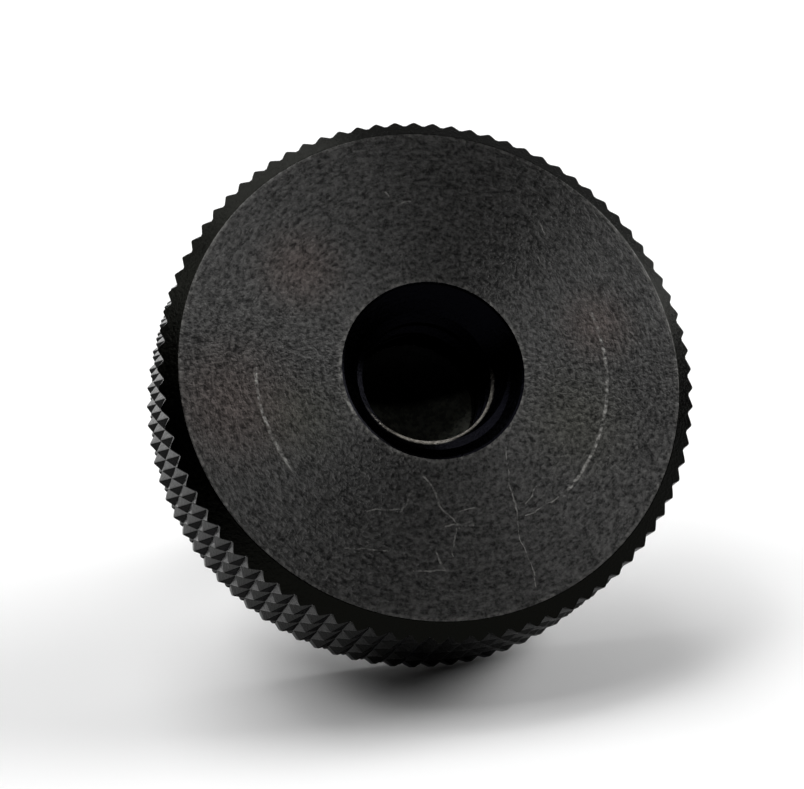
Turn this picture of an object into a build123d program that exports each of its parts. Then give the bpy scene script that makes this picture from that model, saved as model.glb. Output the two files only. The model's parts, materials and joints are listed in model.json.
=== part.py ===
# A camera mount screw, turned from one steel bar: a broad knurled head with a
# countersunk, tapped blind hole in its face, and a threaded stud behind it.
# The screw is drawn on its own axis, with the seat of its head at z = 0, its face
# up and its stud down. It is then laid on z = 0 with its face turned to -Y, as it
# comes to rest: on the rim of its head and the end of its stud. The origin is under
# the middle of the lying screw.
import os
from math import atan2, ceil, cos, degrees, pi, radians, sin, tan

from build123d import *

# Head
head_diameter = 21.4  # over the points of the knurl
head_thickness = 6.35
face_chamfer_width = 0.77  # across the face
face_chamfer_height = 0.58  # along the axis
seat_chamfer_width = 0.77
seat_chamfer_height = 0.58

# Diamond knurl of the rim
knurl_points = 85  # in one row, all the way round
knurl_depth = 0.32
knurl_helix_angle = 26.0  # between a groove and the axis
knurl_phase = 0.45  # from the seat chamfer to the lowest whole row, in rows

# Tapped blind hole in the face, 1/4"-20, drawn at its tapping drill
bore_diameter = 5.1
bore_depth = 4.7  # from the face to where the drill's point starts
drill_point_angle = 118.0
countersink_diameter = 7.13
countersink_angle = 82.0

# Stud behind the head, 1/4"-20, drawn over the crests of its thread
stud_diameter = 6.35
stud_length = 9.525
stud_chamfer = 0.8
stud_root_fillet = 0.2

head_radius = head_diameter / 2
bore_radius = bore_diameter / 2
stud_radius = stud_diameter / 2


def at_turn(radius, turn, height):
    """A point at a radius and height, at a turn counted in knurl points from -Y."""
    angle = 2 * pi * turn / knurl_points - pi / 2
    return Vector(radius * cos(angle), radius * sin(angle), height)


def flat(*corners):
    return Face(Wire.make_polygon(corners, close=True))


def turned_head():
    """The head with its chamfers, countersink and drilled hole, as turned."""
    countersink_depth = (countersink_diameter - bore_diameter) / 2 / tan(radians(countersink_angle / 2))
    point_depth = bore_radius / tan(radians(drill_point_angle / 2))
    section = Polyline(
        (0, 0),
        (head_radius - seat_chamfer_width, 0),
        (head_radius, seat_chamfer_height),
        (head_radius, head_thickness - face_chamfer_height),
        (head_radius - face_chamfer_width, head_thickness),
        (countersink_diameter / 2, head_thickness),
        (bore_radius, head_thickness - countersink_depth),
        (bore_radius, head_thickness - bore_depth),
        (0, head_thickness - bore_depth - point_depth),
        close=True,
    )
    return revolve(Plane.XZ * make_face(section), Axis.Z)


def knurled_bar():
    """Knurled bar stock, a little longer than the head at both ends.

    Two sets of crossing helical grooves leave rows of four-sided points. Each
    row stands half a point round from the row below it, and the row that the
    seat chamfer cuts has two points side by side at -Y, for the head to lie on.
    """
    root_radius = head_radius - knurl_depth
    point_spacing = pi * head_diameter / knurl_points
    row_spacing = point_spacing / tan(radians(knurl_helix_angle)) / 2
    first_height = seat_chamfer_height - (2 - knurl_phase) * row_spacing
    last_row = ceil((head_thickness - first_height) / row_spacing)
    flanks = []
    for row in range(last_row + 1):
        height = first_height + row * row_spacing
        outline = []
        for point in range(knurl_points):
            turn = point + 0.5 * (row % 2)
            tip = at_turn(head_radius, turn, height)
            left = at_turn(root_radius, turn - 0.5, height)
            right = at_turn(root_radius, turn + 0.5, height)
            above = at_turn(root_radius, turn, height + row_spacing)
            below = at_turn(root_radius, turn, height - row_spacing)
            if row < last_row:
                flanks += [flat(tip, right, above), flat(tip, above, left)]
            if row > 0:
                flanks += [flat(tip, left, below), flat(tip, below, right)]
            outline += [tip, right]
        if row in (0, last_row):
            flanks.append(flat(*outline))
    return Solid(Shell(flanks))


def stud():
    """The stud, from the seat down, with a fillet at its root and a chamfered end."""
    root_edge = stud_radius + stud_root_fillet
    fillet_arc = CenterArc((root_edge, -stud_root_fillet), stud_root_fillet, 90, 90)
    sides = Polyline(
        (stud_radius, -stud_root_fillet),
        (stud_radius, -stud_length + stud_chamfer),
        (stud_radius - stud_chamfer, -stud_length),
        (0, -stud_length),
        (0, 0),
        (root_edge, 0),
    )
    return revolve(Plane.XZ * make_face(fillet_arc + sides), Axis.Z)


def lying_angle(screw):
    """The rise of the screw's axis when its rim and the end of its stud lie on one plane."""
    shoulder = stud_length - stud_chamfer
    return max(degrees(atan2(-v.Y - stud_radius, v.Z + shoulder)) for v in screw.vertices())


screw = (turned_head() & knurled_bar()) + stud()
screw = Rot(X=90 - lying_angle(screw)) * screw
box = screw.bounding_box()
screw = Pos(Y=-box.center().Y, Z=-box.min.Z) * screw

os.makedirs("parts", exist_ok=True)
export_step(screw, "parts/mount_screw.step")
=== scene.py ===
import json
from math import ceil, cos, pi, radians, sin, tan

import bmesh
import bpy
from mathutils import Euler, Matrix, Vector


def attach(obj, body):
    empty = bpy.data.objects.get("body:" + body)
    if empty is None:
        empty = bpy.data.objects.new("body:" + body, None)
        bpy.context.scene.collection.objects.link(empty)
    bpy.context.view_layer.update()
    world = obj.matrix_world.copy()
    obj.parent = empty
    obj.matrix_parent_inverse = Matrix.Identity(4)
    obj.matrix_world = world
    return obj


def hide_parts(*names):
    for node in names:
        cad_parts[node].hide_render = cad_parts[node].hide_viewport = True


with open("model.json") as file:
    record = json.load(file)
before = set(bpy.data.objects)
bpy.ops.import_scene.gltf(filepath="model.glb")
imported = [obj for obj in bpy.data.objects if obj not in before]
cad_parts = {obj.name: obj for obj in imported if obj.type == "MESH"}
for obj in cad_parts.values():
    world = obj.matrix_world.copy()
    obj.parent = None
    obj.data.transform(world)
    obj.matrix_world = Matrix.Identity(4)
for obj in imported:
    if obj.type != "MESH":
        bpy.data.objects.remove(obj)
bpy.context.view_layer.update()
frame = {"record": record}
mounts = {mount["name"]: mount for mount in frame["record"]["mounts"]}
print("packed screw loaded")

# The screw's own frame, in millimetres: seat of the head at z = 0, face up, stud down.
axis = Vector(mounts["face"]["axis"])
studPlace = Vector(mounts["stud"]["pos_m"])
seatCentre = studPlace + axis * axis.dot(Vector(mounts["seat"]["pos_m"]) - studPlace)
headThickness = axis.dot(Vector(mounts["face"]["pos_m"]) - seatCentre) * 1000
boreRadius = mounts["face_thread"]["dims"]["r_mm"]
studRadius = mounts["stud"]["dims"]["r_mm"]
leanBack = axis.angle(Vector((0, 0, 1)))
screwToRow = Matrix.LocRotScale(seatCentre, Euler((leanBack, 0, 0)), Vector((0.001, 0.001, 0.001)))

head = {
    "radius": 10.66,  # over the points of the knurl
    "chamferWidth": 0.77,  # across the face
    "chamferHeight": 0.58,  # along the axis
    "edgeBreak": 0.04,
    "landRadius": 5.0,  # face and seat are one flat face inside this
}
knurl = {
    "points": 85,  # in one row, all the way round
    "depth": 0.26,
    "slant": radians(25.7),  # between a slanting groove and the axis
    "topRow": 0.55,  # below the face
    "start": 0.25,  # of the first point past the front, in points
    "crestBreak": 0.05,
}
hole = {
    "mouthRadius": 3.565,
    "mouthBreak": 0.05,
    "sinkAngle": radians(82),
    "depth": 4.7,  # from the face to where the drill's point starts
    "pointAngle": radians(118),
}
thread = {
    "pitch": 1.27,
    "flankAngle": radians(30),
    "crestFlat": 0.16,
    "stepsPerTurn": 96,
    "holeDepth": 4.2,
    "holeStart": pi,  # turn of the thread in the hole
    "studStart": 0.0,
}
stud = {
    "length": 9.5,
    "chamfer": 0.8,
    "rootRadius": 2.4,
    "rootFillet": 0.2,
    "runoutTop": 0.7,  # below the seat, where the thread starts to fade out
    "runoutBottom": 2.3,
}


def newObject(name, bm):
    mesh = bpy.data.meshes.new(name)
    bm.to_mesh(mesh)
    bm.free()
    obj = bpy.data.objects.new(name, mesh)
    bpy.context.scene.collection.objects.link(obj)
    return obj


def boundaryAt(bm, height):
    return [e for e in bm.edges if e.is_boundary and all(abs(v.co.z - height) < 1e-3 for v in e.verts)]


def keepBetween(bm, bottom, top):
    for height, normal in ((bottom, (0, 0, -1)), (top, (0, 0, 1))):
        bmesh.ops.bisect_plane(bm, geom=bm.verts[:] + bm.edges[:] + bm.faces[:], dist=1e-5,
                               plane_co=(0, 0, height), plane_no=normal, clear_outer=True)


def knurledSheet():
    # the rim laid out flat: x round the rim, y along the axis, z out from the axis
    bm = bmesh.new()
    pointWidth = 2 * pi * head["radius"] / knurl["points"]
    rowHeight = pointWidth / tan(knurl["slant"])
    columns, rows = knurl["points"] + 4, ceil(headThickness / rowHeight) + 4  # cut to the rim below
    lowest = headThickness - knurl["topRow"] - (rows - 2) * rowHeight
    bmesh.ops.create_grid(bm, x_segments=columns, y_segments=rows, size=0.5)
    for vert in bm.verts:
        column, row = round((vert.co.x + 0.5) * columns), round((vert.co.y + 0.5) * rows)
        vert.co = ((column - 2.5 + knurl["start"]) * pointWidth, lowest + row * rowHeight,
                   head["radius"] - knurl["depth"])
    # straight and slanting grooves, with a point raised between each two of both
    bmesh.ops.triangulate(bm, faces=bm.faces, quad_method="FIXED")
    level = [e for e in bm.edges if not e.is_boundary and abs(e.verts[0].co.y - e.verts[1].co.y) < 1e-4]
    bmesh.ops.dissolve_edges(bm, edges=level)
    points = bmesh.ops.poke(bm, faces=bm.faces, offset=knurl["depth"])["verts"]
    crests = [e for point in points for e in point.link_edges]
    bmesh.ops.bevel(bm, geom=crests, offset=knurl["crestBreak"], offset_type="OFFSET", segments=2,
                    profile=0.5, affect="EDGES", material=-1, clamp_overlap=True)
    return bm


def knurledRim():
    bm = knurledSheet()
    width, height = head["chamferWidth"], head["chamferHeight"]
    around = 2 * pi * head["radius"]
    chamfers = (
        (Vector((0, headThickness - height, head["radius"])), Vector((0, width, height)), headThickness),
        (Vector((0, height, head["radius"])), Vector((0, -width, height)), 0),
    )
    seams = ((Vector((0, 0, 0)), Vector((-1, 0, 0))), (Vector((around, 0, 0)), Vector((1, 0, 0))))
    for place, normal, *_ in seams + chamfers:
        bmesh.ops.bisect_plane(bm, geom=bm.verts[:] + bm.edges[:] + bm.faces[:], dist=1e-5,
                               plane_co=place, plane_no=normal, clear_outer=True)
    for place, normal, end in chamfers:
        normal.normalize()
        cut = [e for e in bm.edges if e.is_boundary
               and all(abs((v.co - place).dot(normal)) < 1e-4 for v in e.verts)]
        grown = bmesh.ops.extrude_edge_only(bm, edges=cut)["geom"]
        for vert in grown:
            if isinstance(vert, bmesh.types.BMVert):
                vert.co.yz = (end, head["radius"] - width)
    # roll the sheet up
    for vert in bm.verts:
        turn = vert.co.x / head["radius"] - pi / 2
        vert.co = (vert.co.z * cos(turn), vert.co.z * sin(turn), vert.co.y)
    bmesh.ops.remove_doubles(bm, verts=bm.verts, dist=1e-4)
    return bm


def knurledHead():
    bm = knurledRim()
    shrink = head["landRadius"] / (head["radius"] - head["chamferWidth"])
    for height in (0, headThickness):
        edge = boundaryAt(bm, height)
        grown = bmesh.ops.extrude_edge_only(bm, edges=edge)["geom"]
        for vert in grown:
            if isinstance(vert, bmesh.types.BMVert):
                vert.co.xy *= shrink
        bmesh.ops.edgeloop_fill(bm, edges=boundaryAt(bm, height))
        bmesh.ops.bevel(bm, geom=edge, offset=head["edgeBreak"], offset_type="OFFSET", segments=2,
                        profile=0.5, affect="EDGES", material=-1)
    bmesh.ops.recalc_face_normals(bm, faces=bm.faces)
    return newObject("mount_screw_blackened", bm)


def turnedSolid(name, outline, steps=128):
    bm = bmesh.new()
    verts = [bm.verts.new((radius, 0, height)) for radius, height in outline]
    edges = [bm.edges.new(pair) for pair in zip(verts, verts[1:])]
    bmesh.ops.spin(bm, geom=verts + edges, cent=(0, 0, 0), axis=(0, 0, 1), angle=2 * pi, steps=steps,
                   use_merge=True)
    bmesh.ops.remove_doubles(bm, verts=bm.verts, dist=1e-5)
    bmesh.ops.recalc_face_normals(bm, faces=bm.faces)
    return newObject(name, bm)


def threadedSolid(name, rootRadius, crestRadius, crestWidth, bottom, top, start):
    # one turn's outline, wound up the axis and cut off flat at both ends
    pitch = thread["pitch"]
    halfRoot = crestWidth / 2 + (crestRadius - rootRadius) * tan(thread["flankAngle"])
    outline = ((rootRadius, 0), (rootRadius, pitch / 2 - halfRoot),
               (crestRadius, pitch / 2 - crestWidth / 2), (crestRadius, pitch / 2 + crestWidth / 2),
               (rootRadius, pitch / 2 + halfRoot), (rootRadius, pitch))
    turns = ceil((top - bottom) / pitch) + 2
    bm = bmesh.new()
    verts = [bm.verts.new((radius, 0, bottom - pitch + height)) for radius, height in outline]
    edges = [bm.edges.new(pair) for pair in zip(verts, verts[1:])]
    bmesh.ops.rotate(bm, verts=verts, cent=(0, 0, 0), matrix=Matrix.Rotation(start, 3, "Z"))
    steps = thread["stepsPerTurn"]
    bmesh.ops.spin(bm, geom=verts + edges, cent=(0, 0, 0), axis=(0, 0, 1), dvec=(0, 0, pitch / steps),
                   angle=2 * pi * turns, steps=steps * turns)
    bmesh.ops.remove_doubles(bm, verts=bm.verts, dist=1e-4)
    keepBetween(bm, bottom, top)
    for height in (bottom, top):
        bmesh.ops.edgeloop_fill(bm, edges=boundaryAt(bm, height))
    bmesh.ops.recalc_face_normals(bm, faces=bm.faces)
    return newObject(name, bm)


def combine(piece, tool, operation):
    modifier = piece.modifiers.new("combine", "BOOLEAN")
    modifier.operation = operation
    modifier.solver = "EXACT"
    modifier.object = tool
    graph = bpy.context.evaluated_depsgraph_get()
    mesh = bpy.data.meshes.new_from_object(piece.evaluated_get(graph))
    piece.modifiers.clear()
    piece.data = mesh
    bpy.data.objects.remove(tool)


def threadedStud():
    length, chamfer = stud["length"], stud["chamfer"]
    wound = threadedSolid("studThread", stud["rootRadius"], studRadius + 0.05, thread["crestFlat"] - 0.06,
                          -length - 0.5, -stud["runoutTop"] + 0.3, thread["studStart"])
    blank = turnedSolid("studBlank", ((0, 1), (studRadius, 1), (studRadius, -length + chamfer),
                                      (studRadius - chamfer, -length), (0, -length)))
    combine(wound, blank, "INTERSECT")
    fillet = stud["rootFillet"]
    corner = [(studRadius + fillet * (1 - sin(a)), -fillet * (1 - cos(a)))
              for a in (radians(step) for step in (0, 22.5, 45, 67.5, 90))]
    collar = turnedSolid("studRoot", [(0, 0.5), (corner[0][0], 0.5), *corner,
                                      (studRadius, -stud["runoutTop"]),
                                      (stud["rootRadius"] - 0.02, -stud["runoutBottom"]),
                                      (0, -stud["runoutBottom"])])
    combine(wound, collar, "UNION")
    return wound


def drilledHole():
    radius, brk = hole["mouthRadius"], hole["mouthBreak"]
    sinkDepth = (radius - boreRadius) / tan(hole["sinkAngle"] / 2)
    slope = tan(hole["sinkAngle"] / 2)
    pointDepth = boreRadius / tan(hole["pointAngle"] / 2)
    outline = [
        (0, 1), (radius + 0.5, 1), (radius + brk * 1.6, 0.02), (radius + brk * 0.4, -brk * 0.35),
        (radius - brk * slope, -brk), (boreRadius, -sinkDepth), (boreRadius, -hole["depth"]),
        (0, -hole["depth"] - pointDepth),
    ]
    return turnedSolid("drilledHole", [(r, headThickness + z) for r, z in outline])


screw = knurledHead()
print("head knurled")
combine(screw, threadedStud(), "UNION")
print("stud threaded")
combine(screw, drilledHole(), "DIFFERENCE")
tap = threadedSolid("tap", boreRadius - 0.2, studRadius, thread["crestFlat"],
                    headThickness - thread["holeDepth"], headThickness + 0.8, thread["holeStart"])
combine(screw, tap, "DIFFERENCE")
print("hole drilled and tapped")

face = {
    "blacking": (0.03, 0.03, 0.03, 1),
    "thinBlacking": (0.176, 0.174, 0.17, 1),
    "brownAndSheenTint": (1.24, 1.08, 1.04, 1),
    "oliveTint": (0.99, 1.0, 0.92, 1),
    "brownAndSheenPatches": ((-8.0, -0.6, 3.6), (6.9, 1.2, 2.2), (-4.6, 4.6, 2.4)),  # x, y, radius; brown tone, and painted sheen that lightens the face at its left and right
    "olivePatches": ((-5.4, -1.4, 2.4), (5.4, -2.6, 3.0)),
    "bareAndHighlight": (0.6, 0.59, 0.56, 1),  # where the blacking is worn through, and also the painted highlight at the hole's edge
    "roughness": 0.5,
    "turnedSheen": 0.85,  # anisotropy of the turning marks
    "marksPerMillimetre": 6,
    "wearRing": 6.95,  # radius
    "wearRingWidth": 0.09,
    "wearArcs": ((radians(191), radians(20)), (radians(-18), radians(38))),  # middle and half width
    "speckleScale": 6,
    "speckleShare": 0.44,  # of the even speckle in the mottling
    "dashShare": 0.42,  # of the speckle that runs round with the turning
    "blotchScale": 1.6,
    "blotchShare": 0.14,
    "dashLength": 4,  # lower is longer
    "edgeBandRadius": head["radius"] - 0.82,
    "mouthWearAndHighlightSide": radians(205),  # where the edge of the hole is palest: wear, and a painted highlight
    "seatShade": 0.5,  # how dark the seat is beside the face
    "markDepth": 0.000005,
    "bend": 0.6,  # how far the scratches wander, in millimetres
}
scratches = (  # ends on the face, from the middle of the hole, and width
    (-1.1, -4.2, -0.1, -6.4, 0.05), (-0.2, -6.4, -0.4, -7.4, 0.04), (-0.6, -6.2, 0.5, -6.35, 0.05),
    (0.0, -6.3, 0.5, -6.2, 0.05), (0.1, -5.7, 0.9, -5.65, 0.04), (-2.3, -5.4, -1.7, -4.8, 0.05),
    (-3.4, -5.25, -2.3, -5.3, 0.045), (-4.6, -6.6, -2.9, -6.9, 0.04), (-1.0, -7.0, -0.9, -8.0, 0.045),
    (-2.0, -7.8, -0.7, -8.05, 0.05), (2.3, -3.4, 2.3, -6.45, 0.035), (2.3, -6.45, 2.6, -8.9, 0.03),
    (4.0, -5.5, 2.6, -6.2, 0.035), (3.2, -5.1, 2.65, -5.7, 0.035), (-0.8, 7.5, -0.65, 7.25, 0.05),
    (-0.3, 6.9, 0.2, 6.9, 0.04), (5.35, 5.7, 5.45, 5.2, 0.05), (5.0, 4.4, 5.25, 3.8, 0.04),
)
blackened = {
    "steel": (0.0012, 0.0012, 0.0018, 1),  # in the hole
    "rim": (0.004, 0.0041, 0.0035, 1),  # on the chamfers
    "glossy": (0.016, 0.0163, 0.0158, 1),  # on the stud, and on one side of the knurl's points
    "paintedShade": (0.006, 0.006, 0.0062, 1),  # on their other side: painted shade, darker and less glossy
    "paintedShadeGloss": 0.06,
    "edgeTint": (0.62, 0.62, 0.62, 1),  # keeps the gloss low where the surface turns away
    "bareAndHighlight": (0.5, 0.47, 0.42, 1),
    "roughness": 0.22,
    "speckleScale": 7,
    "markDepth": 0.000004,
    "tipWear": 0.06,
}
# pale dust, and painted light, low in the drill point
pointDustAndLight = {
    "colour": (0.56, 0.58, 0.5, 1),
    "top": 0.5,  # how high the pale dust and painted light reach, above the middle of the hole
    "roughness": 0.7,
    "grain": 0.00003,
}


def addNode(tree, kind, inputs, **settings):
    made = tree.nodes.new("ShaderNode" + kind)
    for name, value in settings.items():
        setattr(made, name, value)
    for socket, value in inputs.items():
        if isinstance(value, bpy.types.NodeSocket):
            tree.links.new(value, made.inputs[socket])
        else:
            made.inputs[socket].default_value = value
    return made.outputs[0]


def calc(tree, operation, *values):
    return addNode(tree, "Math", dict(enumerate(values)), operation=operation)


def vectorCalc(tree, operation, *values):
    made = addNode(tree, "VectorMath", dict(enumerate(values)), operation=operation)
    return made.node.outputs["Value"] if operation in ("DOT_PRODUCT", "LENGTH") else made


def ramp(tree, value, fromLow, fromHigh, low=0.0, high=1.0):
    return addNode(tree, "MapRange", {"Value": value, "From Min": fromLow, "From Max": fromHigh,
                                      "To Min": low, "To Max": high}, interpolation_type="SMOOTHSTEP")


def mixColour(tree, factor, first, second):
    made = addNode(tree, "Mix", {0: factor, 6: first, 7: second}, data_type="RGBA")
    return made.node.outputs[2]


def steelMaterial(name):
    material = bpy.data.materials.new(name)
    material.use_nodes = True
    tree = material.node_tree
    place = tree.nodes.new("ShaderNodeTexCoord").outputs["Object"]
    # millimetres on the screw's own axis
    millimetres = addNode(tree, "Mapping", {"Vector": place, "Location": seatCentre,
                                            "Rotation": (leanBack, 0, 0), "Scale": (0.001, 0.001, 0.001)},
                          vector_type="TEXTURE")
    return material, tree, place, millimetres


def nearStroke(tree, spot, stroke):
    x1, y1, x2, y2, width = stroke
    start, along = Vector((x1, y1, 0)), Vector((x2 - x1, y2 - y1, 0))
    offset = vectorCalc(tree, "SUBTRACT", spot, start)
    share = vectorCalc(tree, "DOT_PRODUCT", offset, along / along.length_squared)
    share = addNode(tree, "Clamp", {"Value": share})
    nearest = addNode(tree, "VectorMath", {0: along, "Scale": share}, operation="SCALE")
    distance = vectorCalc(tree, "LENGTH", vectorCalc(tree, "SUBTRACT", offset, nearest))
    return ramp(tree, distance, width * 0.2, width, 0.5, 0)


def speckled(tree, vector, scale, low, high, least=0.0):
    specks = addNode(tree, "TexNoise", {"Vector": vector, "Scale": scale, "Detail": 3.0, "Roughness": 0.65})
    return ramp(tree, specks, low, high, least)


def band(tree, value, middle, halfWidth):
    distance = calc(tree, "ABSOLUTE", calc(tree, "SUBTRACT", value, middle))
    return ramp(tree, distance, halfWidth * 0.3, halfWidth, 1, 0)


def turnedSteel():
    material, tree, place, millimetres = steelMaterial("turned blackened steel")
    shader = tree.nodes["Principled BSDF"]
    flat = vectorCalc(tree, "MULTIPLY", millimetres, (1, 1, 0))
    radius = vectorCalc(tree, "LENGTH", flat)
    outwards = vectorCalc(tree, "NORMALIZE", flat)
    # noise that runs round with the turning
    around = (face["dashLength"], face["dashLength"], 0)
    turned = vectorCalc(tree, "ADD", vectorCalc(tree, "MULTIPLY", outwards, around),
                        addNode(tree, "CombineXYZ", {"Z": radius}))
    fine = speckled(tree, millimetres, face["speckleScale"], 0.36, 0.66)
    dashes = speckled(tree, turned, face["speckleScale"], 0.38, 0.64)
    blotches = speckled(tree, millimetres, face["blotchScale"], 0.34, 0.66)
    marks = addNode(tree, "TexNoise", {"W": radius, "Scale": face["marksPerMillimetre"], "Detail": 4.0,
                                       "Roughness": 0.7}, noise_dimensions="1D")
    pale = calc(tree, "ADD", calc(tree, "MULTIPLY", fine, face["speckleShare"]),
                calc(tree, "MULTIPLY", dashes, face["dashShare"]))
    pale = calc(tree, "ADD", pale, calc(tree, "MULTIPLY", blotches, face["blotchShare"]))
    colour = mixColour(tree, pale, face["blacking"], face["thinBlacking"])
    # brown patches: partly a brown tone, partly painted sheen lightening the face at left and right
    for tint in ("brownAndSheen", "olive"):
        for x, y, reach in face[tint + "Patches"]:
            fromPatch = vectorCalc(tree, "LENGTH", vectorCalc(tree, "SUBTRACT", flat, (x, y, 0)))
            shade = mixColour(tree, ramp(tree, fromPatch, reach, 0), (1, 1, 1, 1), face[tint + "Tint"])
            colour = vectorCalc(tree, "MULTIPLY", colour, shade)
    # a ring rubbed by what was screwed on, scratches, and bright edges
    # the hole's edge: wear all round, more at the lower left as a painted highlight
    lowerLeftHighlight = vectorCalc(tree, "DOT_PRODUCT", outwards,
                           (cos(face["mouthWearAndHighlightSide"]), sin(face["mouthWearAndHighlightSide"]), 0))
    wearAndHighlight = calc(tree, "MULTIPLY", band(tree, radius, hole["mouthRadius"] + 0.05, 0.2),
                ramp(tree, lowerLeftHighlight, 0.5, 1, 0.25, 0.6))
    outerEdge = calc(tree, "MULTIPLY", band(tree, radius, face["edgeBandRadius"], 0.12), 0.2)
    wearAndHighlight = calc(tree, "MAXIMUM", wearAndHighlight, outerEdge)
    rub = band(tree, radius, face["wearRing"], face["wearRingWidth"])
    for middle, halfWidth in face["wearArcs"]:
        facing = vectorCalc(tree, "DOT_PRODUCT", outwards, (cos(middle), sin(middle), 0))
        arc = calc(tree, "MULTIPLY", rub, ramp(tree, facing, cos(halfWidth), cos(halfWidth * 0.7), 0, 0.8))
        wearAndHighlight = calc(tree, "MAXIMUM", wearAndHighlight, arc)
    wearAndHighlight = calc(tree, "MULTIPLY", wearAndHighlight, speckled(tree, millimetres, 3, 0.35, 0.6, 0.15))
    wander = addNode(tree, "TexNoise", {"Vector": millimetres, "Scale": 0.9, "Detail": 3.0})
    wander = vectorCalc(tree, "SUBTRACT", wander.node.outputs["Color"], (0.5, 0.5, 0.5))
    bent = vectorCalc(tree, "ADD", flat, vectorCalc(tree, "MULTIPLY", wander, (face["bend"], face["bend"], 0)))
    for stroke in scratches:
        wearAndHighlight = calc(tree, "MAXIMUM", wearAndHighlight, nearStroke(tree, bent, stroke))
    wearAndHighlight = calc(tree, "MULTIPLY", wearAndHighlight, speckled(tree, millimetres, 4, 0.38, 0.62, 0.1))
    # the seat is darker, and unworn
    along = addNode(tree, "SeparateXYZ", {0: millimetres}).node.outputs["Z"]
    wearAndHighlight = calc(tree, "MULTIPLY", wearAndHighlight, ramp(tree, along, 1, 2))
    level = ramp(tree, along, 1, 2, face["seatShade"], 1)
    shade = addNode(tree, "CombineXYZ", {"X": level, "Y": level, "Z": level})
    colour = mixColour(tree, wearAndHighlight, vectorCalc(tree, "MULTIPLY", colour, shade), face["bareAndHighlight"])
    tree.links.new(colour, shader.inputs["Base Color"])
    shader.inputs["Metallic"].default_value = 1
    tree.links.new(ramp(tree, fine, 0, 1, face["roughness"] - 0.04, face["roughness"] + 0.08),
                   shader.inputs["Roughness"])
    shader.inputs["Anisotropic"].default_value = face["turnedSheen"]
    fromMiddle = vectorCalc(tree, "SUBTRACT", place, seatCentre + axis * headThickness / 1000)
    tree.links.new(fromMiddle, shader.inputs["Tangent"])
    height = calc(tree, "ADD", calc(tree, "MULTIPLY", marks, 0.5), calc(tree, "ADD", fine, dashes))
    height = calc(tree, "SUBTRACT", height, wearAndHighlight)
    bump = addNode(tree, "Bump", {"Height": height, "Distance": face["markDepth"], "Strength": 1.0})
    tree.links.new(bump, shader.inputs["Normal"])
    return material


def blackedSteel(name, colour, rimColour=None, gloss=1):
    material, tree, place, millimetres = steelMaterial(name)
    shader = tree.nodes["Principled BSDF"]
    radius = vectorCalc(tree, "LENGTH", vectorCalc(tree, "MULTIPLY", millimetres, (1, 1, 0)))
    fine = speckled(tree, millimetres, blackened["speckleScale"], 0.35, 0.7)
    wearAndHighlight = ramp(tree, radius, head["radius"] - 0.05, head["radius"], 0, blackened["tipWear"])
    shader.inputs["Metallic"].default_value = gloss
    if rimColour:
        # the chamfers differ from the hole, and the edge of the bore is pale at its lower side: partly wear,
        # partly a painted highlight
        onRim = ramp(tree, radius, head["landRadius"], head["radius"] - head["chamferWidth"])
        colour = mixColour(tree, onRim, colour, rimColour)
        fromAxis = addNode(tree, "SeparateXYZ", {0: millimetres}).node.outputs
        sinkDepth = (hole["mouthRadius"] - boreRadius) / tan(hole["sinkAngle"] / 2)
        boreEdgeWearAndHighlight = calc(tree, "MULTIPLY", band(tree, radius, boreRadius + 0.03, 0.16),
                        band(tree, fromAxis["Z"], headThickness - sinkDepth, 0.16))
        # kept to the lower side, where the painted highlight lies
        boreEdgeWearAndHighlight = calc(tree, "MULTIPLY", boreEdgeWearAndHighlight, ramp(tree, fromAxis["Y"], 0.4, -1.8))
        wearAndHighlight = calc(tree, "MAXIMUM", wearAndHighlight, boreEdgeWearAndHighlight)
        tree.links.new(calc(tree, "SUBTRACT", gloss, boreEdgeWearAndHighlight), shader.inputs["Metallic"])
    wearAndHighlight = calc(tree, "MULTIPLY", wearAndHighlight, ramp(tree, fine, 0, 1, 0.35, 0.75))
    tree.links.new(mixColour(tree, wearAndHighlight, colour, blackened["bareAndHighlight"]), shader.inputs["Base Color"])
    shader.inputs["Specular IOR Level"].default_value = 0
    shader.inputs["Specular Tint"].default_value = blackened["edgeTint"]
    tree.links.new(ramp(tree, fine, 0, 1, blackened["roughness"] - 0.04, blackened["roughness"] + 0.06),
                   shader.inputs["Roughness"])
    bump = addNode(tree, "Bump", {"Height": fine, "Distance": blackened["markDepth"], "Strength": 1.0})
    tree.links.new(bump, shader.inputs["Normal"])
    return material


def drillPointDustAndLight():
    material, tree, place, millimetres = steelMaterial("Dust and painted light in the drill point")
    shader = tree.nodes["Principled BSDF"]
    specks = speckled(tree, millimetres, 3, 0.35, 0.65)
    height = addNode(tree, "SeparateXYZ", {0: millimetres}).node.outputs["Y"]
    # pale only low in the drill point: dust, and painted light below the shadow edge of the mouth
    settledAndLit = calc(tree, "MULTIPLY", ramp(tree, specks, 0, 1, 0.5), ramp(tree, height, pointDustAndLight["top"], 0))
    colour = mixColour(tree, settledAndLit, blackened["steel"], pointDustAndLight["colour"])
    tree.links.new(colour, shader.inputs["Base Color"])
    shader.inputs["Roughness"].default_value = pointDustAndLight["roughness"]
    shader.inputs["Specular IOR Level"].default_value = 0.2
    bump = addNode(tree, "Bump", {"Height": specks, "Distance": pointDustAndLight["grain"], "Strength": 1.0})
    tree.links.new(bump, shader.inputs["Normal"])
    return material


def isTurnedFace(polygon):
    end = headThickness if polygon.normal.z > 0 else 0
    return abs(polygon.normal.z) > 0.98 and abs(polygon.center.z - end) < 0.01


def isDrillPoint(polygon):
    return polygon.center.xy.length < boreRadius and 0 < polygon.center.z < headThickness - hole["depth"]


def isOnKnurl(polygon):
    return polygon.center.xy.length > head["radius"] - knurl["depth"] - 0.05


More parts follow.
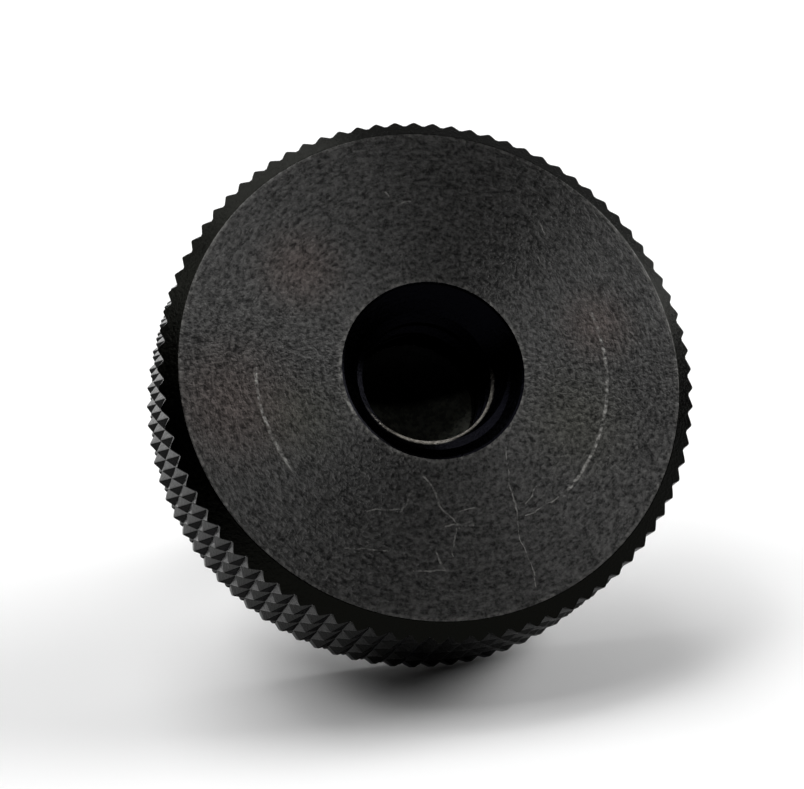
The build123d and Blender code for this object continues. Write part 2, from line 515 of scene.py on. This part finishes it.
def isPaintedShadeFlank(polygon):
    # painted shade: one side of each point is made darker and duller, giving black bands between bright ones
    outwards = polygon.center.xy.normalized()
    clockwise = polygon.normal.x * outwards.y - polygon.normal.y * outwards.x
    return isOnKnurl(polygon) and clockwise < -0.1


def isGlossy(polygon):
    return isOnKnurl(polygon) and abs(polygon.normal.z) < 0.7 or polygon.center.z < -0.01


finishes = (  # the first that fits a face is given to it
    (turnedSteel(), isTurnedFace),
    (drillPointDustAndLight(), isDrillPoint),
    # one side of each knurl point darkened as painted shade
    (blackedSteel("black flanks in painted shade", blackened["paintedShade"], gloss=blackened["paintedShadeGloss"]), isPaintedShadeFlank),
    (blackedSteel("glossy blackened steel", blackened["glossy"]), isGlossy),
    (blackedSteel("deep blackened steel", blackened["steel"], blackened["rim"]), lambda polygon: True),
)
screw.data.materials.clear()
for material, fits in finishes:
    screw.data.materials.append(material)
for polygon in screw.data.polygons:
    polygon.material_index = [fits(polygon) for material, fits in finishes].index(True)
print("steel blackened")

screw.data.transform(screwToRow)
screw.data.shade_smooth()
screw.data.set_sharp_from_angle(angle=radians(6))  # the knurl's flanks are flat
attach(screw, "root")
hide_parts("mount_screw")


paper = {
    "size": 3,
    "colour": (0.93, 0.93, 0.93, 1),
    "roughness": 0.95,
}


def paperFloor():
    bm = bmesh.new()
    bmesh.ops.create_grid(bm, x_segments=1, y_segments=1, size=paper["size"])
    floor = newObject("floor", bm)
    material = bpy.data.materials.new("pale paper")
    material.use_nodes = True
    shader = material.node_tree.nodes["Principled BSDF"]
    shader.inputs["Base Color"].default_value = paper["colour"]
    shader.inputs["Roughness"].default_value = paper["roughness"]
    shader.inputs["Specular IOR Level"].default_value = 0.1
    floor.data.materials.append(material)


camera = {
    "azimuth": radians(14.064),
    "elevation": radians(22.126),
    "distance": 0.08394,  # along the view, to the middle of the face
    "lens": 97.1,
    "faceAt": (433.9, 369.5),  # pixels
    "picture": (804, 789),
}


def placeCamera():
    data = bpy.data.cameras.new("camera")
    data.lens = camera["lens"]
    data.sensor_fit = "HORIZONTAL"
    data.clip_start = 0.005
    eye = bpy.data.objects.new("camera", data)
    bpy.context.scene.collection.objects.link(eye)
    turn = Euler((pi / 2 - camera["elevation"], 0, -camera["azimuth"])).to_matrix()
    width, height = camera["picture"]
    perPixel = data.sensor_width / width / data.lens
    x, y = camera["faceAt"]
    toFace = Vector(((x - width / 2) * perPixel, (height / 2 - y) * perPixel, -1)) * camera["distance"]
    faceCentre = seatCentre + axis * headThickness / 1000
    eye.matrix_world = Matrix.LocRotScale(faceCentre - turn @ toFace, turn, None)
    bpy.context.scene.camera = eye


lamps = {  # azimuth from the front towards the right, elevation, distance, width, radiance
    "leftSoftbox": (radians(262), radians(57), 1.5, 0.8, 4.3),
    "backSoftbox": (radians(200), radians(61), 1.5, 0.9, 4.3),
    "rightSoftbox": (radians(98), radians(29), 1.5, 0.8, 8.8),
}
room = {
    "dim": 0.02,  # on the camera's side
    "pale": 0.7,  # behind the screw
}


def placeLights():
    for name, (azimuth, elevation, distance, width, radiance) in lamps.items():
        data = bpy.data.lights.new(name, "AREA")
        data.size = width
        data.energy = radiance * pi * width * width
        lamp = bpy.data.objects.new(name, data)
        direction = Vector((sin(azimuth) * cos(elevation), -cos(azimuth) * cos(elevation), sin(elevation)))
        lamp.location = direction * distance
        lamp.rotation_euler = direction.to_track_quat("Z", "Y").to_euler()
        bpy.context.scene.collection.objects.link(lamp)
    world = bpy.data.worlds.new("room")
    world.use_nodes = True
    tree = world.node_tree
    direction = addNode(tree, "SeparateXYZ", {0: tree.nodes.new("ShaderNodeTexCoord").outputs["Generated"]})
    level = ramp(tree, direction.node.outputs["Y"], 0.1, 0.75, room["dim"], room["pale"])
    tree.links.new(level, tree.nodes["Background"].inputs["Color"])
    bpy.context.scene.world = world


paperFloor()
placeCamera()
placeLights()
bpy.context.scene.view_settings.view_transform = "Standard"
print("studio set up")
